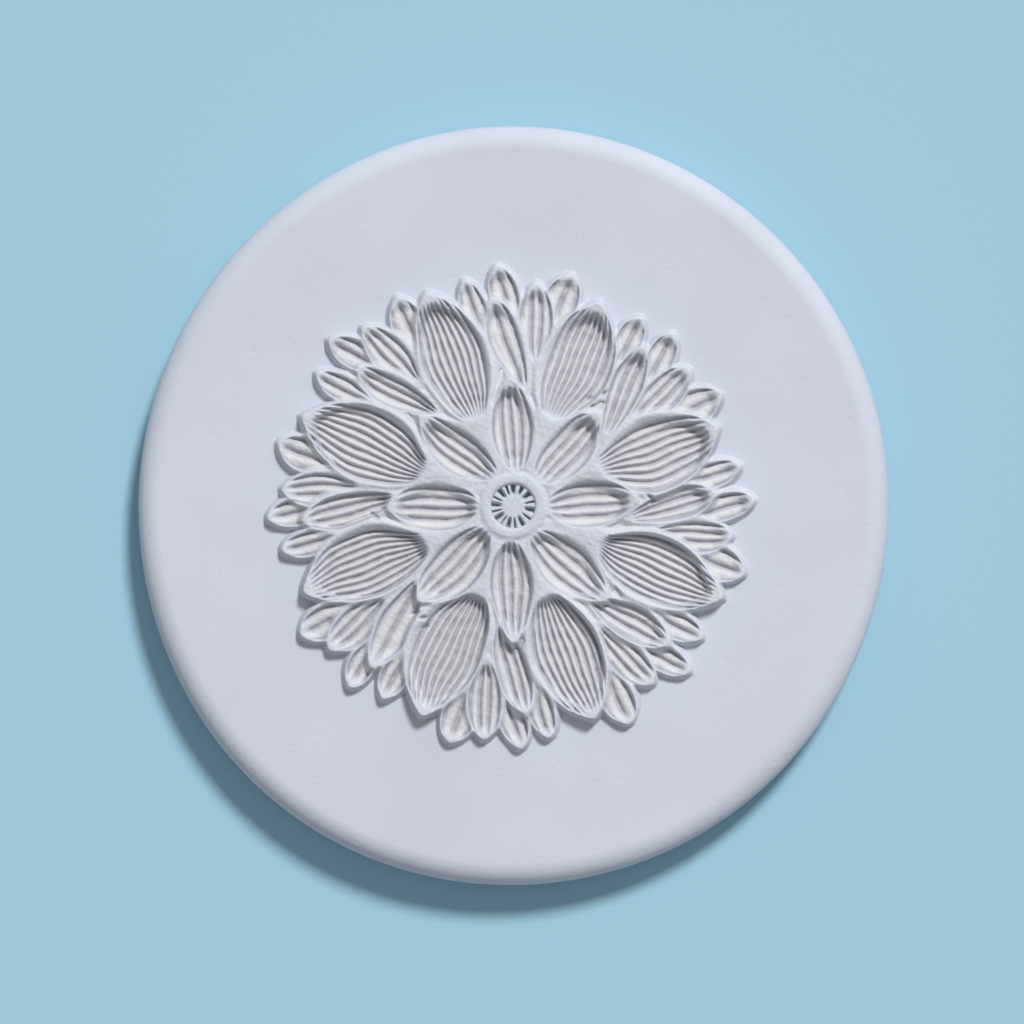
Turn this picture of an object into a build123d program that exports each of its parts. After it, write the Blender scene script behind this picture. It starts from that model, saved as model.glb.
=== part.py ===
from build123d import *
from dataclasses import dataclass
import os

# A round clay stamp that lies on its flat back, face up. The flower on its face
# is built from pressed clay sprigs, laid on the slab one over the other.
# Millimetres, +Z up, with the origin at the middle of the back. Bearings are
# degrees counter-clockwise from +X. Petals are numbered clockwise from the top.
os.makedirs("parts", exist_ok=True)

# The slab: a hand-patted disc, a little deeper than it is wide
slab_width = 79.6
slab_depth = 80.8
slab_thickness = 6.0
face_edge_round = 2.4
back_edge_bevel = 0.8

# The gap of slip between two sprigs that lie side by side
seam = 0.08

# The ring at the middle, and the star inside its bore
ring_outer_radius = 3.5
ring_bore_radius = 2.2
ring_height = 2.35
ring_bevel = 0.4
star_clearance = 0.08
star_floor_height = 0.9
button_radius = 1.05
button_height = 2.0
spoke_width = 0.2
spoke_height = 1.7
spoke_pair_count = 8
spoke_pair_angle = 17.0
first_spoke_bearing = 68.0

# Where the petals next to the ring start, just under its rim
petal_root_radius = 3.1

# Inner petals, on top of the others
inner_petal_reach = 14.0
inner_petal_width = 5.5
inner_root_height = 2.1
inner_tip_height = 2.05
inner_rib_height = 1.05
inner_groove_height = 0.65
inner_rim = 0.5
inner_tip_rim = 0.8
inner_vein_root = 1.1
inner_groove_count = 4

# Large petals, each on a smooth neck that runs in between two inner petals
large_petal_reach = 24.2
large_petal_width = 8.0
large_petal_root_radius = 8.7
large_root_height = 1.95
large_tip_height = 1.45
large_rib_height = 0.95
large_groove_height = 0.5
large_rim = 0.55
large_tip_rim = 1.0
large_vein_root = 1.2
large_groove_count = 7
neck_width = 3.8
neck_reach = 15.5

# Middle petals, between the large ones, with their tips set back from theirs
middle_petal_setback = 2.1
middle_petal_reach = large_petal_reach - middle_petal_setback
middle_petal_width = 3.8
middle_petal_root_radius = 11.8
middle_root_height = 1.7
middle_tip_height = 1.3
middle_rib_height = 0.85
middle_groove_height = 0.45
middle_rim = 0.4
middle_tip_rim = 0.7
middle_vein_root = 1.4
middle_groove_count = 3

# The four leaves that show past each pair of petals, and by how much
long_leaf_show = 0.3
long_leaf_length = 9.4
long_leaf_width = 3.7
long_leaf_lean_angle = 5.5
side_leaf_show = 0.75
side_leaf_length = 7.6
side_leaf_width = 3.4
side_leaf_lean_angle = 6.0
crown_leaf_show = 3.9
crown_leaf_length = 7.4
crown_leaf_width = 3.8
crown_leaf_lean_angle = 13.0
broad_leaf_show = 1.85
broad_leaf_length = 7.6
broad_leaf_width = 4.3
broad_leaf_lean_angle = -5.0
leaf_root_height = 1.2
leaf_tip_height = 0.95
leaf_groove_height = 0.35
leaf_rim = 0.35
leaf_tip_rim = 0.6
leaf_vein_root = 1.0
long_leaf_groove_count = 3
short_leaf_groove_count = 2

# How far the widest point sits towards the tip, as a share of the half width
round_fullness_share = 0.0
inner_fullness_share = 0.12
large_fullness_share = 0.2
leaf_fullness_share = 0.25

# The share of each rib's pitch that stays standing, and how far the veins still
# lie apart where they run together, as a share of the width inside the rim
rib_share = 0.5
vein_spread_share = 0.22

# The straight strokes of the knife along each side of a petal, leaf and groove
petal_stroke_count = 8
leaf_stroke_count = 6
groove_stroke_count = 4

# Control points at four thirds of a swell make a cubic curve that swells by it
bulge_share = 4 / 3

# Petals: tip bearing, root bearing, then shares of the reach, width and width
inner_petal_shares = [
    (92, 85, 0.99, 0.90, -0.05),
    (47, 41, 0.98, 1.00, 0.04),
    (3, -2, 0.96, 1.00, 0.00),
    (-45, -57, 1.02, 1.08, 0.00),
    (-90, -98, 1.05, 0.90, 0.04),
    (-135, -141, 1.04, 1.08, 0.08),
    (180, 182, 0.97, 1.00, 0.00),
    (137, 121, 0.99, 0.97, 0.00),
]
large_petal_shares = [
    (111, 115, 1.01, 0.96, -0.05),
    (66, 68, 0.98, 0.96, 0.00),
    (20, 24, 0.96, 1.06, -0.07),
    (-24, -25, 1.01, 0.98, 0.07),
    (-69, -71, 1.01, 0.98, 0.00),
    (-114, -111, 1.01, 1.06, -0.05),
    (-158, -155, 1.00, 0.98, -0.09),
    (156, 162, 1.01, 1.04, -0.05),
]
middle_petal_shares = [
    (96, 83, 1.01, 1.00, 0.00),
    (51, 36, 0.99, 0.95, 0.00),
    (4, -7, 0.98, 0.95, 0.00),
    (-41, -52, 1.00, 1.00, 0.00),
    (-86, -98, 1.00, 1.00, 0.00),
    (-131, -143, 1.03, 1.05, 0.00),
    (-176, 175, 1.02, 1.00, 0.00),
    (139, 128, 1.00, 0.95, 0.00),
]

# The bearing where each large petal's neck leaves the ring
neck_bearings = [104, 63, 21, -30, -79, -120, -159, 151]

# Leaves: tip bearing and share of the reach
long_leaf_shares = [
    (84, 0.98),
    (38, 0.98),
    (-8, 0.97),
    (-52, 0.99),
    (-97, 1.03),
    (-142, 1.02),
    (176, 1.01),
    (130, 1.02),
]
side_leaf_shares = [
    (102, 0.99),
    (56, 0.98),
    (10, 0.99),
    (-35, 0.99),
    (-81, 1.01),
    (-124, 1.00),
    (-169, 1.01),
    (146, 1.02),
]
crown_leaf_shares = [
    (94, 0.99),
    (49, 0.96),
    (2, 0.99),
    (-43, 1.00),
    (-88, 1.00),
    (-132, 1.01),
    (-177, 1.01),
    (138, 1.02),
]
broad_leaf_shares = [
    (76, 0.98),
    (28, 0.97),
    (-16, 0.99),
    (-62, 1.01),
    (-105, 1.01),
    (-149, 1.03),
    (165, 1.01),
    (119, 1.00),
]


@dataclass
class Blade:
    """The place and shape of one petal or leaf, seen from above."""

    root: Vector
    tip: Vector
    width: float
    bow: float
    fullness_share: float
    strokes: int

    def along(self):
        """The unit vector from root to tip."""
        return (self.tip - self.root).normalized()

    def inset(self, rim, root_rim, tip_rim):
        """The same shape drawn in by a rim, or grown where the rims are negative."""
        return Blade(
            self.root + self.along() * root_rim,
            self.tip - self.along() * tip_rim,
            self.width - 2 * rim,
            self.bow,
            self.fullness_share,
            self.strokes,
        )


@dataclass
class Relief:
    """The heights above the slab's face, and the veins, of one kind of sprig."""

    root_height: float
    tip_height: float
    rib_height: float
    groove_height: float
    rim: float
    tip_rim: float
    vein_root: float
    grooves: int


def at(reach, bearing):
    """The point of the slab's face at a reach and bearing from the flower's middle."""
    return Vector(reach, 0).rotate(Axis.Z, bearing)


def blade_edge(blade, side_share, end_share=0):
    """The curve at a share of the half width, whose ends lie at another share of it."""
    left = blade.along().rotate(Axis.Z, 90)
    half_width = blade.width / 2
    shift = left * half_width * end_share
    swell = half_width * (side_share - end_share)
    near = (blade.bow + swell * (1 - blade.fullness_share)) * bulge_share
    far = (blade.bow + swell * (1 + blade.fullness_share)) * bulge_share
    third = (blade.tip - blade.root) / 3
    start = blade.root + shift
    end = blade.tip + shift
    near_point = start + third + left * near
    far_point = end - third + left * far
    return Bezier(start, near_point, far_point, end, mode=Mode.PRIVATE)


def cut_outline(edges, strokes):
    """The face between two curves that a knife follows in short straight strokes."""
    with BuildSketch() as outline:
        with BuildLine():
            for edge in edges:
                Polyline(*[edge @ (step / strokes) for step in range(strokes + 1)])
        make_face()
    return outline.sketch.face()


def blade_outline(blade):
    """The face inside a blade's two edges."""
    return cut_outline([blade_edge(blade, 1), blade_edge(blade, -1)], blade.strokes)


def groove_outline(blade, number, count):
    """The lens between two ribs: its pointed ends lie apart from its neighbours'."""
    middle_share = (2 * number + 1) / count - 1
    end_share = middle_share * vein_spread_share
    half_groove_share = (1 - rib_share) / count
    right_edge = blade_edge(blade, middle_share - half_groove_share, end_share)
    left_edge = blade_edge(blade, middle_share + half_groove_share, end_share)
    return cut_outline([right_edge, left_edge], groove_stroke_count)


def boxes_meet(first, second):
    """Whether the boxes round two flat shapes meet."""
    one = first.bounding_box()
    other = second.bounding_box()
    meet_across = one.min.X < other.max.X and other.min.X < one.max.X
    meet_along = one.min.Y < other.max.Y and other.min.Y < one.max.Y
    return meet_across and meet_along


def showing(outlines):
    """The largest piece of some joined outlines that the sprigs above leave bare."""
    with BuildSketch() as shown:
        add(outlines)
        add([cover for cover in covers if boxes_meet(cover, shown.sketch)], mode=Mode.SUBTRACT)
    return shown.sketch.faces().sort_by(SortBy.AREA)[-1]


def lifted_plane(blade, relief):
    """The plane of a sprig's top, which slopes from the root's height to the tip's."""
    root_point = blade.root + Vector(0, 0, slab_thickness + relief.root_height)
    tip_point = blade.tip + Vector(0, 0, slab_thickness + relief.tip_height)
    slope = tip_point - root_point
    left = blade.along().rotate(Axis.Z, 90)
    return Plane(origin=root_point, x_dir=slope, z_dir=slope.cross(left))


def press_sprig(label, blade, relief, shown):
    """Press one ribbed petal or leaf from its bare outline, and write its file."""
    ribbed = blade.inset(relief.rim, relief.vein_root, relief.tip_rim)
    with BuildPart() as sprig:
        with BuildSketch(face_plane):
            add(shown)
        extrude(amount=2 * relief.tip_height)
        split(bisect_by=lifted_plane(blade, relief), keep=Keep.BOTTOM)
        if relief.rib_height < relief.root_height:
            with BuildSketch(face_plane.offset(relief.rib_height)):
                add(blade_outline(ribbed))
            extrude(amount=2 * relief.tip_height, mode=Mode.SUBTRACT)
        with BuildSketch(face_plane.offset(relief.groove_height)):
            for number in range(relief.grooves):
                add(groove_outline(ribbed, number, relief.grooves))
        extrude(amount=2 * relief.tip_height, mode=Mode.SUBTRACT)
    sprig.part.label = label
    export_step(sprig.part, f"parts/{label}.step")


# Slab
with BuildPart() as slab:
    with BuildSketch():
        Ellipse(slab_width / 2, slab_depth / 2)
    extrude(amount=slab_thickness)
    fillet(slab.faces().sort_by(Axis.Z)[-1].edges(), face_edge_round)
    chamfer(slab.faces().sort_by(Axis.Z)[0].edges(), back_edge_bevel)
slab.part.label = "slab"
export_step(slab.part, "parts/slab.step")

face_plane = Plane.XY.offset(slab_thickness)

# Centre ring, with its top edges eased
ring_section = Plane(origin=(0, 0, slab_thickness), x_dir=(1, 0, 0), z_dir=(0, -1, 0))
with BuildPart() as centre_ring:
    with BuildSketch(ring_section):
        with BuildLine():
            Polyline(
                (ring_bore_radius, 0),
                (ring_outer_radius, 0),
                (ring_outer_radius, ring_height - ring_bevel),
                (ring_outer_radius - ring_bevel, ring_height),
                (ring_bore_radius + ring_bevel, ring_height),
                (ring_bore_radius, ring_height - ring_bevel),
                close=True,
            )
        make_face()
    revolve(axis=Axis.Z)
centre_ring.part.label = "centre_ring"
export_step(centre_ring.part, "parts/centre_ring.step")

# Star: a low floor, a button and pairs of thin spokes, in the ring's bore
star_radius = ring_bore_radius - star_clearance
with BuildPart() as centre_star:
    with BuildSketch(face_plane):
        Circle(star_radius)
    extrude(amount=star_floor_height)
    with BuildSketch(face_plane):
        Circle(button_radius)
    extrude(amount=button_height)
    with BuildSketch(face_plane) as spokes:
        for side in (-1, 1):
            start_angle = first_spoke_bearing + side * spoke_pair_angle / 2
            with PolarLocations(star_radius / 2, spoke_pair_count, start_angle=start_angle):
                Rectangle(star_radius, spoke_width)
        Circle(star_radius, mode=Mode.INTERSECT)
    extrude(amount=spoke_height)
centre_star.part.label = "centre_star"
export_step(centre_star.part, "parts/centre_star.step")

# What each kind of sprig looks like in section
inner_relief = Relief(
    inner_root_height,
    inner_tip_height,
    inner_rib_height,
    inner_groove_height,
    inner_rim,
    inner_tip_rim,
    inner_vein_root,
    inner_groove_count,
)
large_relief = Relief(
    large_root_height,
    large_tip_height,
    large_rib_height,
    large_groove_height,
    large_rim,
    large_tip_rim,
    large_vein_root,
    large_groove_count,
)
middle_relief = Relief(
    middle_root_height,
    middle_tip_height,
    middle_rib_height,
    middle_groove_height,
    middle_rim,
    middle_tip_rim,
    middle_vein_root,
    middle_groove_count,
)
long_leaf_relief = Relief(
    leaf_root_height,
    leaf_tip_height,
    leaf_root_height,
    leaf_groove_height,
    leaf_rim,
    leaf_tip_rim,
    leaf_vein_root,
    long_leaf_groove_count,
)
short_leaf_relief = Relief(
    leaf_root_height,
    leaf_tip_height,
    leaf_root_height,
    leaf_groove_height,
    leaf_rim,
    leaf_tip_rim,
    leaf_vein_root,
    short_leaf_groove_count,
)

# Sprigs are cut from the top down, each against the ones that lie over it
with BuildSketch() as ring_cover:
    Circle(ring_outer_radius + seam)
covers = [ring_cover.sketch.face()]


def cover_of(blade):
    """The outline of a sprig with its seam, which cuts the sprigs under it."""
    return blade_outline(blade.inset(-seam, -seam, -seam))


# Inner petals
for number, row in enumerate(inner_petal_shares, start=1):
    tip_bearing, root_bearing, reach_share, width_share, bow_share = row
    blade = Blade(
        at(petal_root_radius, root_bearing),
        at(inner_petal_reach * reach_share, tip_bearing),
        inner_petal_width * width_share,
        inner_petal_width * bow_share,
        inner_fullness_share,
        petal_stroke_count,
    )
    press_sprig(f"inner_petal_{number}", blade, inner_relief, showing([blade_outline(blade)]))
    covers.append(cover_of(blade))

# Large petals, each with its neck
for number, row in enumerate(large_petal_shares, start=1):
    tip_bearing, root_bearing, reach_share, width_share, bow_share = row
    blade = Blade(
        at(large_petal_root_radius, root_bearing),
        at(large_petal_reach * reach_share, tip_bearing),
        large_petal_width * width_share,
        large_petal_width * bow_share,
        large_fullness_share,
        petal_stroke_count,
    )
    neck = Blade(
        at(petal_root_radius, neck_bearings[number - 1]),
        at(neck_reach, tip_bearing),
        neck_width,
        0,
        round_fullness_share,
        leaf_stroke_count,
    )
    outlines = [blade_outline(blade), blade_outline(neck)]
    press_sprig(f"large_petal_{number}", blade, large_relief, showing(outlines))
    covers.append(cover_of(blade))
    covers.append(cover_of(neck))

# Middle petals
for number, row in enumerate(middle_petal_shares, start=1):
    tip_bearing, root_bearing, reach_share, width_share, bow_share = row
    blade = Blade(
        at(middle_petal_root_radius, root_bearing),
        at(middle_petal_reach * reach_share, tip_bearing),
        middle_petal_width * width_share,
        middle_petal_width * bow_share,
        leaf_fullness_share,
        petal_stroke_count,
    )
    press_sprig(f"middle_petal_{number}", blade, middle_relief, showing([blade_outline(blade)]))
    covers.append(cover_of(blade))


def press_leaves(name, rows, reach, length, width, lean, relief):
    """Press one ring of outer leaves, which lean from their bearings by an angle."""
    for number, (tip_bearing, reach_share) in enumerate(rows, start=1):
        tip = at(reach * reach_share, tip_bearing)
        root = tip - at(length, tip_bearing + lean)
        blade = Blade(root, tip, width, 0, leaf_fullness_share, leaf_stroke_count)
        press_sprig(f"{name}_{number}", blade, relief, showing([blade_outline(blade)]))
        covers.append(cover_of(blade))


# Outer leaves
press_leaves(
    "long_leaf",
    long_leaf_shares,
    large_petal_reach + long_leaf_show,
    long_leaf_length,
    long_leaf_width,
    long_leaf_lean_angle,
    long_leaf_relief,
)
press_leaves(
    "side_leaf",
    side_leaf_shares,
    large_petal_reach + side_leaf_show,
    side_leaf_length,
    side_leaf_width,
    side_leaf_lean_angle,
    short_leaf_relief,
)
press_leaves(
    "crown_leaf",
    crown_leaf_shares,
    middle_petal_reach + crown_leaf_show,
    crown_leaf_length,
    crown_leaf_width,
    crown_leaf_lean_angle,
    short_leaf_relief,
)
press_leaves(
    "broad_leaf",
    broad_leaf_shares,
    large_petal_reach + broad_leaf_show,
    broad_leaf_length,
    broad_leaf_width,
    broad_leaf_lean_angle,
    short_leaf_relief,
)
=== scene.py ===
from dataclasses import dataclass

import bpy
import numpy as np
from bpy.props import FloatProperty, FloatVectorProperty, PointerProperty
from bpy.types import Operator, Panel, PropertyGroup
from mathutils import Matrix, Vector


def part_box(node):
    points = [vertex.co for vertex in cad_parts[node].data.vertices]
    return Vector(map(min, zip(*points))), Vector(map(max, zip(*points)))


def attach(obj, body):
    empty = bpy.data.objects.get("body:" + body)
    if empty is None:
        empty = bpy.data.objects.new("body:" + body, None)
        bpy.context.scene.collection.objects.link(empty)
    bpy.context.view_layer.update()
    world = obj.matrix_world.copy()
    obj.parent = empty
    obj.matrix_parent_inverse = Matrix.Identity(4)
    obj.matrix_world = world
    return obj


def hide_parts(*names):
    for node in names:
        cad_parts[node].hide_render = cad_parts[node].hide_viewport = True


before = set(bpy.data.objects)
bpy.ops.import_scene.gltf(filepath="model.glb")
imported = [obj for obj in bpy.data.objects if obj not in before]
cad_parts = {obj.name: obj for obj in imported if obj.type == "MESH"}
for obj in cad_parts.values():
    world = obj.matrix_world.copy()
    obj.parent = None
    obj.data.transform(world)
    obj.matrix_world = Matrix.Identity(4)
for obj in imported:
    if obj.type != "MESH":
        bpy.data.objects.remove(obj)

# A round clay stamp, dressed for pictures. The flower on its face is built from
# pressed clay sprigs, each one piece, laid over the slab in layers. All pieces
# share one height field, so the clay runs softly from one sprig into the next.
# The shapes are worked out in millimetres above the slab's face, with the origin
# at the middle of the flower, and bearings are degrees counter-clockwise from +X.
bl_info = {
    "name": "Clay Stamp",
    "version": (1, 0, 0),
    "blender": (4, 5, 0),
    "location": "View3D > Sidebar > Clay Stamp",
    "description": "Builds the looks of a round clay stamp with a layered flower",
    "category": "Object",
}

MM = 0.001
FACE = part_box("slab")[1].z / MM
SLAB_WIDTH = (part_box("slab")[1].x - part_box("slab")[0].x) / MM
SLAB_DEPTH = (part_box("slab")[1].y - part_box("slab")[0].y) / MM

# The ring at the middle of the flower, and its bore
RING_RADIUS = 3.5
BORE_RADIUS = 2.36
PETAL_ROOT_RADIUS = 3.1

# How far inside a sprig's outline the rim's crest stands, how far a piece's mesh
# reaches past its foot, and how far down into the slab
SHOULDER = 0.35
MARGIN = 0.3
SUNK = -0.35

# How much deeper the dish is on the left than on the right, how much of the half width
# the fan of veins takes, and how far it moves away from the broader wall
DISH_TILT = 0.15
FAN_SHARE = 0.82
FAN_SHIFT = 0.3


@dataclass
class Blade:
    """The outline of a petal, leaf or neck: two curves between its root and its tip."""

    root: np.ndarray
    tip: np.ndarray
    half_width: float
    bow: float
    fullness: float
    tip_round: float = 0.12
    blunt: float = 1.0

    @property
    def length(self):
        """The distance from root to tip."""
        return float(np.hypot(*(self.tip - self.root)))

    @property
    def along(self):
        """The unit vector from root to tip."""
        return (self.tip - self.root) / self.length

    @property
    def left(self):
        """The unit vector to the left of the way from root to tip."""
        return np.array([-self.along[1], self.along[0]])

    def edge(self, side, shares):
        """Points at some shares along one edge, where side is 1 for the left and -1 for the right.

        The distance from the straight line is the bow times 4u(1 - u), plus the half width
        times 4u(1 - u) to the power of blunt, below 1 for rounder ends. The half width
        leans towards the tip by 1 + fullness (2u - 1).
        """
        swell = 4 * shares * (1 - shares)
        taper = 1 + self.fullness * (2 * shares - 1)
        out = self.bow * swell + side * self.half_width * swell**self.blunt * taper
        return (
            self.root
            + np.outer(shares * self.length, self.along)
            + np.outer(out, self.left)
        )

    def lie(self, x, y):
        """Where points lie on the blade.

        Returns the distance along it, the distance left of its bowed middle line, the
        half width there, and the depth inside its outline, below zero outside. The depth
        is the room between the point and the edge, times the cosine of the edge's slope.
        """
        dx = x - self.root[0]
        dy = y - self.root[1]
        along = dx * self.along[0] + dy * self.along[1]
        share = along / self.length
        held = np.clip(share, -0.15, 1.15)
        swell = 4 * held * (1 - held)
        rounded = np.sign(swell) * np.abs(swell) ** self.blunt
        taper = 1 + self.fullness * (2 * held - 1)
        half = self.half_width * rounded * taper - np.abs(share - held) * self.length
        inner = np.clip(share, 0, 1)
        off = dx * self.left[0] + dy * self.left[1] - self.bow * 4 * inner * (1 - inner)
        steep = self.blunt * np.maximum(np.abs(swell), 0.02) ** (self.blunt - 1)
        slope = self.half_width / self.length * (
            4 * (1 - 2 * held) * steep * taper + 2 * self.fullness * rounded
        )
        slope = np.clip(slope, -1.8, 1.8)
        soft_off = np.sqrt(off**2 + self.tip_round**2) - self.tip_round
        depth = (half - soft_off) / np.sqrt(1 + slope**2)
        return along, off, half, depth


@dataclass
class Pressing:
    """How one kind of sprig is pressed: its heights, rims, dish, veins and grooves."""

    root_height: float
    tip_height: float
    tip_lift: float
    rim: float
    tip_rim: float
    foot: float
    dish: float
    vein_root: float
    root_share: float
    tip_share: float
    groove: float
    groove_width: float


@dataclass
class Sprig:
    """One sprig of the flower: its outlines, how it is pressed, its two walls and its ribs."""

    name: str
    blade: Blade
    pressing: Pressing
    left_wall: float
    right_wall: float
    ribs: int
    neck: Blade = None

    def outlines(self):
        """The blade, and the neck where the sprig has one."""
        return [self.blade] if self.neck is None else [self.blade, self.neck]

    def middle_and_reach(self):
        """The middle of the sprig and how far from it the sprig has any effect."""
        ends = np.array([end for blade in self.outlines() for end in (blade.root, blade.tip)])
        middle = (ends.min(axis=0) + ends.max(axis=0)) / 2
        spread = np.hypot(*(ends - middle).T).max()
        return middle, spread + self.blade.half_width + self.pressing.foot + MARGIN

    def depth(self, x, y):
        """The depth inside the sprig's outline, below zero outside."""
        depth = self.blade.lie(x, y)[3]
        if self.neck is not None:
            depth = soft_max(depth, self.neck.lie(x, y)[3], 0.35)
        return depth

    def press(self, x, y):
        """The sprig's own surface: height, painted shade and wash.

        The height is the rim's level, which runs from root to tip, less a dish that starts
        inside the rim and falls over the left or right wall, less grooves between the
        ribs. The dish tilts across the petal. The veins wander and the grooves are cut
        unevenly, as by hand. A groove is a bell across the veins' own
        lens, which keeps some width at both ends, and each rib between two grooves is
        rounded by a cosine.
        """
        kind = self.pressing
        blade = self.blade
        along, off, half, depth = blade.lie(x, y)
        share = np.clip(along / blade.length, 0, 1)
        level = kind.root_height + (kind.tip_height - kind.root_height) * share
        level = level + kind.tip_lift * smooth((share - 0.76) / 0.24)

        across = np.clip(off / np.maximum(half, 0.3), -1, 1)
        wall = self.right_wall + (self.left_wall - self.right_wall) * (0.5 + 0.5 * across)
        rim = kind.rim + (kind.tip_rim - kind.rim) * smooth((share - 0.7) / 0.3)
        dished = smooth((depth - rim) / wall) * smooth((along - kind.vein_root * 0.5) / 1.6)
        dished = dished * (1 + DISH_TILT * across)

        start = kind.vein_root
        end = blade.length - kind.tip_rim * 0.8
        vein = np.clip((along - start) / (end - start), 0, 1)
        swell = 4 * vein * (1 - vein) * (1 + blade.fullness * (2 * vein - 1))
        share_apart = kind.root_share + (kind.tip_share - kind.root_share) * vein
        opening = share_apart + (1 - share_apart) * np.clip(swell, 0, 1.1)
        fan = FAN_SHARE * blade.half_width
        shift = FAN_SHIFT * (self.right_wall - self.left_wall)
        v = (off - shift * opening) / (fan * opening)
        v = v + 0.016 * wander(x, y, 4.0, 41)
        turn = (v + 1) * self.ribs / 2
        pitch = 2 * fan * opening / self.ribs
        away = np.abs(turn - np.round(turn)) * pitch
        bell = np.exp(-((away / kind.groove_width) ** 2))
        crest = 0.6 * (1 - bell) + 0.4 * (0.5 - 0.5 * np.cos(2 * np.pi * turn))
        inside = 1 - smooth((np.abs(v) - 1) / 0.22)
        ends = smooth((along - kind.vein_root * 0.7) / 0.9)
        ends = ends * smooth((blade.length - kind.tip_rim * 0.9 - along) / 1.2)
        cut = kind.groove * (1 - crest) * inside * ends * smooth((depth - kind.rim * 0.6) / 0.35)
        cut = cut * (1 + 0.12 * wander(x, y, 1.4, 42))

        height = level - kind.dish * dished - cut
        # Painted shade: the grooves' colour is darkened as if by their own shadow, most at the bottom of each groove.
        shade = 0.4 * bell + 0.6 * (0.5 + 0.5 * np.cos(2 * np.pi * turn)) ** 1.4
        hollow = np.clip(shade * cut / (kind.groove * np.maximum(1 - crest, 0.05)), 0, 1)
        wash = np.clip(0.2 + 0.8 * dished, 0, 1) * smooth((along - kind.vein_root * 0.7) / 1.5)
        return height, hollow, wash


@dataclass
class Ring:
    """The smooth ring at the middle of the flower, which lies over every petal's root."""

    name: str
    height: float

    def middle_and_reach(self):
        """The ring's middle and how far from it the ring has any effect."""
        return np.zeros(2), RING_RADIUS + 1.0

    def depth(self, x, y):
        """The depth inside the ring's outer edge, below zero outside it."""
        bearing = np.arctan2(y, x)
        edge = RING_RADIUS + 0.05 * np.sin(3 * bearing + 0.6) + 0.03 * np.sin(5 * bearing)
        return edge - np.hypot(x, y)

    def press(self, x, y):
        """The ring's height, painted shade and wash: a round crest that falls away on both sides."""
        reach = np.hypot(x, y)
        crest = (BORE_RADIUS + RING_RADIUS) / 2
        away = np.abs(reach - crest) / 0.75
        height = self.height - 0.32 * away**2.4
        return height, np.zeros_like(x), np.zeros_like(x)


def smooth(share):
    """The smooth step: 0 up to share 0, 3t^2 - 2t^3 between, and 1 from share 1."""
    t = np.clip(share, 0, 1)
    return t * t * (3 - 2 * t)


def soft_max(a, b, width):
    """The larger of two fields, with a fillet of the given width where they meet."""
    near = np.clip(0.5 + 0.5 * (a - b) / width, 0, 1)
    return b + (a - b) * near + width * near * (1 - near)


def at(reach, bearing):
    """The point at a reach and bearing from the flower's middle."""
    angle = np.radians(bearing)
    return reach * np.array([np.cos(angle), np.sin(angle)])


def wander(x, y, spacing, seed):
    """A slow uneven field between about -1 and 1: six sine waves in seeded directions."""
    rng = np.random.default_rng(seed)
    total = np.zeros_like(x)
    for _ in range(6):
        bearing = rng.uniform(0, 2 * np.pi)
        wave = 2 * np.pi / (spacing * rng.uniform(0.7, 1.6))
        total += np.sin(wave * (x * np.cos(bearing) + y * np.sin(bearing)) + rng.uniform(0, 6.3))
    return total / 3.2


# How each kind of sprig is pressed
INNER = Pressing(
    root_height=2.15, tip_height=1.75, tip_lift=0.4, rim=0.28, tip_rim=0.9, foot=0.3,
    dish=1.05, vein_root=0.8, root_share=0.5, tip_share=0.5, groove=0.4, groove_width=0.22,
)
LARGE = Pressing(
    root_height=2.05, tip_height=1.4, tip_lift=0.5, rim=0.32, tip_rim=1.1, foot=0.4,
    dish=1.05, vein_root=1.7, root_share=0.42, tip_share=0.48, groove=0.45, groove_width=0.18,
)
MIDDLE = Pressing(
    root_height=1.8, tip_height=1.25, tip_lift=0.4, rim=0.26, tip_rim=0.7, foot=0.45,
    dish=0.75, vein_root=1.2, root_share=0.35, tip_share=0.45, groove=0.45, groove_width=0.22,
)
LONG = Pressing(
    root_height=1.6, tip_height=1.05, tip_lift=0.2, rim=0.25, tip_rim=0.7, foot=0.3,
    dish=0.45, vein_root=1.4, root_share=0.4, tip_share=0.6, groove=0.45, groove_width=0.2,
)
SIDE = Pressing(
    root_height=1.6, tip_height=0.95, tip_lift=0.25, rim=0.25, tip_rim=0.5, foot=0.3,
    dish=0.3, vein_root=1.2, root_share=0.5, tip_share=0.6, groove=0.5, groove_width=0.2,
)
CROWN = Pressing(
    root_height=1.45, tip_height=0.85, tip_lift=0.3, rim=0.25, tip_rim=0.7, foot=0.3,
    dish=0.55, vein_root=1.0, root_share=0.45, tip_share=0.5, groove=0.5, groove_width=0.2,
)
BROAD = Pressing(
    root_height=1.5, tip_height=1.0, tip_lift=0.15, rim=0.28, tip_rim=0.6, foot=0.3,
    dish=0.4, vein_root=1.2, root_share=0.4, tip_share=0.5, groove=0.5, groove_width=0.24,
)

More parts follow.
